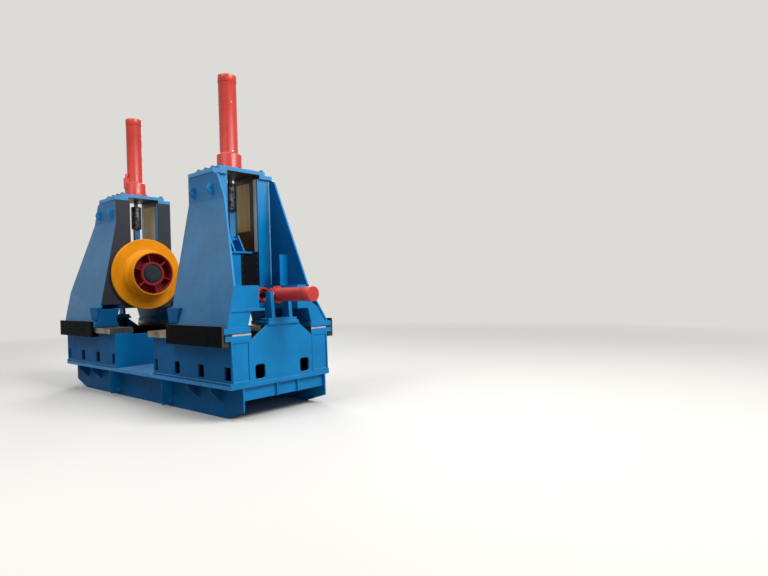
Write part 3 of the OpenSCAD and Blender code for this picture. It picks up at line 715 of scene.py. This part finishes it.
class STAND_OT_bearing_covers(bpy.types.Operator):
    """Closes the heads with black bearing covers and their screws"""

    bl_idname = "stand.bearing_covers"
    bl_label = "Bearing Covers"

    def execute(self, context):
        wide = context.scene.uncoiler_fasteners.cover_screw
        # Rear face of the head block, and the cover's outline on it: its exit part runs
        # up beside the shelf, from shelf_end on
        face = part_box("head_near")[0].y + 0.025
        left, right, bottom, top = -0.054, 0.217, 1.538, 1.954
        shelf_end, shelf_top = 0.106, 1.979
        # Thin cover and button heads, so that the head still clears the rear wall
        thick, crown, sunk, socket = 0.0035, 0.0022, 0.001, 0.0004
        column, screw_margin, rows = 0.025, 0.03, 5
        nipple = Vector((0.010, -1.420, 2.150))
        for side in SIDES:
            body = f"head_{side}_body"
            mesh = bmesh.new()
            prism(mesh, [(left, bottom), (right, bottom), (right, shelf_top),
                         (shelf_end, shelf_top), (shelf_end, top), (left, top)],
                  face - thick, face + sunk)
            add_piece(f"bearing_cover_{side}", to_side(mesh, side), body, "black", 0.0015)
            mesh = bmesh.new()
            for x in (left + column, right - column):
                for i in range(rows):
                    z = bottom + screw_margin + (top - bottom - 2 * screw_margin) * i / (rows - 1)
                    base = Matrix.Translation((x, face - thick, z)) @ Matrix.Rotation(
                        math.pi / 2, 4, "X")
                    turned(mesh, [(0, -sunk), (wide / 2, -sunk), (wide / 2, crown * 0.6),
                                  (wide * 0.4, crown), (wide * 0.2, crown),
                                  (wide * 0.2, socket), (0, socket)], base, 18)
            add_piece(f"cover_screws_{side}", to_side(mesh, side), body, "dark")
            # Grease nipple on the exit rib
            mesh = bmesh.new()
            hex_bolt(mesh, nipple, (-1, 0, 0), 0.030)
            base = Matrix.Translation(nipple) @ Matrix.Rotation(-math.pi / 2, 4, "Y")
            turned(mesh, [(0, 0.01), (0.010, 0.01), (0.010, 0.026), (0.006, 0.030), (0.009, 0.035),
                          (0.006, 0.041), (0, 0.041)], base, 20)
            add_piece(f"grease_nipple_{side}", to_side(mesh, side), body, "chrome")
        return {"FINISHED"}


class STAND_OT_slideway_paint(bpy.types.Operator):
    """Paints the ends of the slideway rails up to their ground top"""

    bl_idname = "stand.slideway_paint"
    bl_label = "Slideway End Paint"

    def execute(self, context):
        low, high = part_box("rails_exit")
        # Height of the paint's edge, inner end of the wet oil and top of both bare coats
        line, oily, edge = high.z - 0.020, high.x - 0.09, high.z - 0.001
        wrap, coat, sunk = 0.0005, 0.0012, 0.004
        for side in SIDES:
            for name, finish, inner, outer, bottom, top in (
                ("paint", "blue", low.x, high.x, low.z, line),
                ("bare_end", "chrome", low.x, oily, line, edge),
                ("oily_end", "grime", oily, high.x, line, edge),
            ):
                mesh = bmesh.new()
                for s in (-1, 1):
                    a, b = sorted((s * (inner - wrap), s * (outer + wrap)))
                    slab(mesh, (a, low.y - coat, bottom), (b, low.y + sunk, top))
                add_piece(f"slideway_{name}_{side}", to_side(mesh, side), "base", finish)
        return {"FINISHED"}


class STAND_OT_bed_floor(bpy.types.Operator):
    """Lays near-black painted shade on the deck inside the closed bed, where only the hand holes
    show it
    """

    bl_idname = "stand.bed_floor"
    bl_label = "Bed Floor Shade"

    def execute(self, context):
        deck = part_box("sub_deck")[1].z
        low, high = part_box("bed_end_near")
        coat, gap, rim = 0.0008, 0.001, 0.026
        for side in SIDES:
            mesh = bmesh.new()
            slab(mesh, (low.x + gap, low.y + rim, deck - coat),
                 (high.x - gap, high.y - rim, deck + coat))
            add_piece(f"bed_floor_{side}", to_side(mesh, side), "base", "primer")
        return {"FINISHED"}


class STAND_OT_end_walls(bpy.types.Operator):
    """Closes the girders' inner end walls beside the first hand holes, which run into them"""

    bl_idname = "stand.end_walls"
    bl_label = "Girder End Walls"

    def execute(self, context):
        low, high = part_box("girder_near_exit")
        # Wall, the hand hole's height, and how far the piece stays off hole and outer face
        wall, bottom, top, rim, short = 0.025, 0.475, 0.627, 0.0002, 0.015
        for side in SIDES:
            mesh = bmesh.new()
            for s in (-1, 1):
                a, b = sorted((s * low.x, s * (high.x - short)))
                slab(mesh, (a, high.y - wall, bottom + rim), (b, high.y, top - rim))
            piece = add_piece(f"end_walls_{side}", to_side(mesh, side), "base", "blue")
            # Faces that look to the entry are in painted shade
            piece.data.materials.append(MATERIALS["bed_blue"])
            for face in piece.data.polygons:
                face.material_index = int(face.normal.x < -0.9 and face.center.x < 0)
        return {"FINISHED"}


class STAND_OT_mandrel_screws(bpy.types.Operator):
    """Adds the end plates of the spindles with their screws"""

    bl_idname = "stand.mandrel_screws"
    bl_label = "Mandrel Screws"

    def execute(self, context):
        low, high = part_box("spindle_near")
        axis_z = (low.z + high.z) / 2
        # Plate and its middle recess, screw circle and width across flats
        plate_r, thick, recess_r, circle, flats = 0.108, 0.004, 0.034, 0.078, 0.02
        for side in SIDES:
            base = Matrix.Translation((0, high.y, axis_z)) @ Matrix.Rotation(-math.pi / 2, 4, "X")
            mesh = bmesh.new()
            turned(mesh, [(0, -0.001), (plate_r, -0.001), (plate_r - 0.002, thick),
                          (recess_r, thick), (recess_r - 0.004, 0.001), (0, 0.001)], base, 64)
            for a in angles(6, 0.3):
                at = base @ Vector((circle * math.cos(a), circle * math.sin(a), thick))
                hex_bolt(mesh, at, (0, 1, 0), flats, a)
            add_piece(f"spindle_end_{side}", to_side(mesh, side), f"mandrel_{side}_body", "hub",
                      0.001)
        return {"FINISHED"}


def bead(mesh, points, radius, seed):
    """Adds a fillet weld along points, with ripples drawn 30 mm apart so that they show."""
    path, half_ripple = [Vector(points[0])], 0.015
    for a, b in zip(points, points[1:]):
        a, b = Vector(a), Vector(b)
        steps = max(1, int((b - a).length / half_ripple))
        path += [a.lerp(b, (i + 1) / steps) for i in range(steps)]
    rings = []
    for i, p in enumerate(path):
        ahead = (path[min(i + 1, len(path) - 1)] - path[max(i - 1, 0)]).normalized()
        across = ahead.orthogonal().normalized()
        upright = ahead.cross(across)
        swell = radius * (0.8 + 0.12 * (i % 2) + 0.25 * noise.noise(p * 9 + Vector((seed, 0, 0))))
        rings.append([mesh.verts.new(p + swell * (across * math.cos(t) + upright * math.sin(t)))
                      for t in angles(6)])
    for a, b in zip(rings, rings[1:]):
        for i in range(6):
            mesh.faces.new((a[i], a[(i + 1) % 6], b[(i + 1) % 6], b[i]))
    mesh.faces.new(rings[0])
    mesh.faces.new(list(reversed(rings[-1])))


class STAND_OT_weld_seams(bpy.types.Operator):
    """Lays the fillet welds of the towers and of the bed"""

    bl_idname = "stand.weld_seams"
    bl_label = "Weld Seams"

    def execute(self, context):
        r = context.scene.uncoiler_fasteners.bead / 2
        foot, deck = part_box("foot_box_near"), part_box("sub_deck")
        bracket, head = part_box("bracket_near"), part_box("head_near")
        # Faces that the seams follow: leg, flange, ledge, stay, deck, plinth and end plate
        leg_y, flange_z, ledge_low, ledge_top = foot[0].y + 0.011, foot[0].z + 0.061, 1.239, 1.271
        stay_x, stay_y, stay_foot, rear = 0.414, -1.938, 1.536, -2.300
        deck_z, plinth_z, end_y = deck[1].z, deck[1].z + 0.026, deck[0].y + 0.005
        tower = [
            # Legs on the foot flange, then under and over the entry leg's ledge
            [(-0.730, leg_y, flange_z), (-0.480, leg_y, flange_z)],
            [(0.480, leg_y, flange_z), (0.720, leg_y, flange_z)],
            [(-0.690, leg_y, ledge_low), (-0.432, leg_y, ledge_low)],
            [(-0.688, leg_y, ledge_top), (-0.317, leg_y, ledge_top)],
            # Legs against the side plates
            [(-0.733, leg_y, flange_z), (-0.697, leg_y, ledge_low)],
            [(-0.690, leg_y, ledge_top), (-0.637, leg_y, 1.532)],
            [(0.723, leg_y, flange_z), (0.607, leg_y, ledge_low)],
            # Stay of the exit plate
            [(0.293, stay_y, stay_foot), (stay_x, stay_y, stay_foot)],
            [(stay_x, stay_y, stay_foot), (stay_x, stay_y, 1.930)],
            # Feet of the side plates
            [(-0.761, rear, flange_z), (-0.761, -1.270, flange_z)],
            [(0.752, rear, flange_z), (0.752, -1.070, flange_z)],
        ]
        # End plate: up its sides and along its foot
        half = 0.466
        base = [[(s * half, end_y, deck_z + 0.003), (s * half, end_y, 0.900)] for s in (-1, 1)]
        base.append([(-half, end_y, deck_z + 0.001), (half, end_y, deck_z + 0.001)])
        # Bed walls on the plinth, and the webs under the deck
        base += [[(s * 0.727, -2.310, plinth_z), (s * 0.727, -0.570, plinth_z)] for s in (-1, 1)]
        base += [[(x, rear, 0.375), (x, 0.0, 0.375)] for x in (-0.586, 0.676)]
        # Under the bracket's plate, and round the pad on it
        plate_y, pad_in, pad_z = bracket[0].y + 0.0145, -2.144, 1.104
        base.append([(-0.213, end_y - 0.001, 1.065), (0.243, end_y - 0.001, 1.065)])
        base.append([(-0.197, pad_in, pad_z), (-0.197, plate_y, pad_z), (0.227, plate_y, pad_z),
                     (0.227, pad_in, pad_z)])
        # Ribs of the end beam, and round the bracket's cheeks
        for rib in (-0.090, 0.226):
            for x in (rib - 0.010, rib + 0.010):
                base.append([(x, -2.2815, 0.374), (x, -2.2815, 0.228)])
        inner, outer, cheek_z = bracket[0].y + 0.165, bracket[0].y + 0.024, 1.141
        for cheek in (-0.115, 0.145):
            left, right = cheek - 0.0245, cheek + 0.0245
            base.append([(left, inner, cheek_z), (left, outer, cheek_z), (right, outer, cheek_z),
                         (right, inner, cheek_z)])
        # Ribs on the head's shelf
        carriage = [[(x, head[0].y + 0.048, 1.982), (x, -1.280, 1.982)]
                    for rib in (-0.120, 0.020) for x in (rib - 0.0105, rib + 0.0105)]
        # The long seam between the exit side plate and its upright, with a painted highlight
        upright_x, upright_y = 0.4115, -1.603
        bright = [(upright_x, upright_y, foot[1].z + 0.01), (upright_x, upright_y, 2.925)]
        for side in SIDES:
            for body, seams in ((f"tower_{side}_body", tower), ("base", base),
                                (f"head_{side}_body", carriage)):
                mesh = bmesh.new()
                for i, points in enumerate(seams):
                    bead(mesh, points, r, i * 3.1)
                add_piece(f"weld_seams_{body}_{side}", to_side(mesh, side), body, "blue")
            mesh = bmesh.new()
            bead(mesh, bright, 1.7 * r, 7.0)
            add_piece(f"highlight_seam_{side}", to_side(mesh, side), f"tower_{side}_body", "weld")
        return {"FINISHED"}


class STAND_OT_studio(bpy.types.Operator):
    """Sets up the pale floor, the soft lamps and the camera"""

    bl_idname = "stand.studio"
    bl_label = "Studio"

    def execute(self, context):
        stage = context.scene.uncoiler_stage
        mesh = bmesh.new()
        bmesh.ops.create_grid(mesh, x_segments=1, y_segments=1, size=60)
        data = bpy.data.meshes.new("studio_floor")
        mesh.to_mesh(data)
        mesh.free()
        floor = bpy.data.objects.new("studio_floor", data)
        context.scene.collection.objects.link(floor)
        # Matt studio vinyl: pale, even, no gloss. It looks pale, but throws no more
        # light back at the stand than a darker floor would
        material, tree, place = new_material("Studio vinyl")
        seen = seen_rays(tree)
        pale = tuple(stage.floor)
        tone = add_node(tree, "ShaderNodeMix", {
            "data_type": "RGBA", SHARE: seen, FIRST: shade(pale, 0.55), SECOND: pale}, MIXED)
        vinyl = add_node(tree, "ShaderNodeBsdfPrincipled", {
            "Base Color": tone, "Roughness": 0.85}, "BSDF")
        # From 5 to 16 m away the floor that is seen turns into the backdrop
        reach = add_node(tree, "ShaderNodeVectorMath", {"operation": "LENGTH", 0: place}, "Value")
        distant = add_node(tree, "ShaderNodeMapRange", {
            "Value": reach, "From Min": 5.0, "From Max": 16.0}, "Result")
        away = add_node(tree, "ShaderNodeMath", {
            "operation": "MULTIPLY", 0: distant, 1: seen}, 0)
        wall = add_node(tree, "ShaderNodeEmission", {
            "Color": linear(BACKDROP), "Strength": 1.0}, 0)
        fade = add_node(tree, "ShaderNodeMixShader", {"Fac": away, 1: vinyl, 2: wall}, 0)
        add_node(tree, "ShaderNodeOutputMaterial", {"Surface": fade})
        data.materials.append(material)

        world = bpy.data.worlds.new("Studio air")
        context.scene.world = world
        world.use_nodes = True
        tree = world.node_tree
        tree.nodes.clear()
        soft = add_node(tree, "ShaderNodeBackground", {
            "Color": linear("#eef1f5"), "Strength": stage.air}, 0)
        wall = add_node(tree, "ShaderNodeBackground", {
            "Color": linear(BACKDROP), "Strength": 1.0}, 0)
        plain = add_node(tree, "ShaderNodeMixShader", {
            "Fac": seen_rays(tree), 1: soft, 2: wall}, 0)
        add_node(tree, "ShaderNodeOutputWorld", {"Surface": plain})

        # Square soft boxes, with their width in metres, aimed at the towers' middle
        aim = Vector((0, 0, 1.8))
        for name, watts, size, at in (
            ("key_lamp", stage.key, 7.0, (2.0, -11.0, 11.5)),
            ("entry_lamp", stage.fill, 5.0, (-7.5, -1.0, 11.0)),
            ("back_lamp", stage.fill, 6.0, (7.0, 10.0, 8.0)),
            ("top_lamp", stage.fill * 0.35, 6.0, (-1.0, 0.0, 11.0)),
        ):
            lamp = bpy.data.lights.new(name, "AREA")
            lamp.energy, lamp.shape, lamp.size = watts, "SQUARE", size
            holder = bpy.data.objects.new(name, lamp)
            context.scene.collection.objects.link(holder)
            holder.location = at
            holder.rotation_euler = (aim - Vector(at)).to_track_quat("-Z", "Y").to_euler()

        # The viewpoint of the photograph: 1.46 m above the floor, level, rolled by 1.7
        # degrees. The stand lies left of the middle, as it does there
        eye, yaw, roll = Vector((-4.28, -7.637, 1.46)), math.radians(40.8), math.radians(-1.679)
        ahead = Vector((math.cos(yaw), math.sin(yaw), 0))
        level = Vector((math.sin(yaw), -math.cos(yaw), 0))
        right = level * math.cos(roll) + Vector((0, 0, 1)) * math.sin(roll)
        camera = bpy.data.cameras.new("photo_view")
        camera.lens, camera.sensor_width = stage.lens, 36.0
        holder = bpy.data.objects.new("photo_view", camera)
        context.scene.collection.objects.link(holder)
        turned_to = Matrix((right, right.cross(ahead), -ahead)).transposed().to_4x4()
        holder.matrix_world = Matrix.Translation(eye) @ turned_to
        context.scene.camera = holder
        context.scene.view_settings.view_transform = "Standard"
        return {"FINISHED"}


OPERATORS = (
    STAND_OT_paint_frame, STAND_OT_plate_bolts, STAND_OT_lift_fittings, STAND_OT_guide_strips,
    STAND_OT_bearing_covers, STAND_OT_slideway_paint, STAND_OT_bed_floor, STAND_OT_end_walls,
    STAND_OT_mandrel_screws, STAND_OT_weld_seams, STAND_OT_studio,
)


class STAND_PT_panel(bpy.types.Panel):
    """Sizes, colours and steps of the uncoiler stand"""

    bl_idname = "STAND_PT_panel"
    bl_label = "Uncoiler Stand"
    bl_space_type = "VIEW_3D"
    bl_region_type = "UI"
    bl_category = "Uncoiler Stand"

    def draw(self, context):
        column = self.layout.column()
        for group in (context.scene.uncoiler_finish, context.scene.uncoiler_fasteners,
                      context.scene.uncoiler_stage):
            for key in group.bl_rna.properties.keys():
                if key not in ("rna_type", "name"):
                    column.prop(group, key)
        for operator in OPERATORS:
            column.operator(operator.bl_idname)


GROUPS = {"uncoiler_finish": UncoilerFinish, "uncoiler_fasteners": UncoilerFasteners,
          "uncoiler_stage": UncoilerStage}
CLASSES = (*GROUPS.values(), *OPERATORS, STAND_PT_panel)


def register():
    """Registers the classes and hangs the property groups on the scene."""
    for cls in CLASSES:
        bpy.utils.register_class(cls)
    for name, group in GROUPS.items():
        setattr(bpy.types.Scene, name, bpy.props.PointerProperty(type=group))


def unregister():
    """Takes the property groups and the classes away again."""
    for name in GROUPS:
        delattr(bpy.types.Scene, name)
    for cls in reversed(CLASSES):
        bpy.utils.unregister_class(cls)


def main():
    """Builds the dressed stand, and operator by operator."""
    register()
    for operator in OPERATORS:
        group, name = operator.bl_idname.split(".")
        getattr(getattr(bpy.ops, group), name)()


if __name__ == "__main__":
    main()
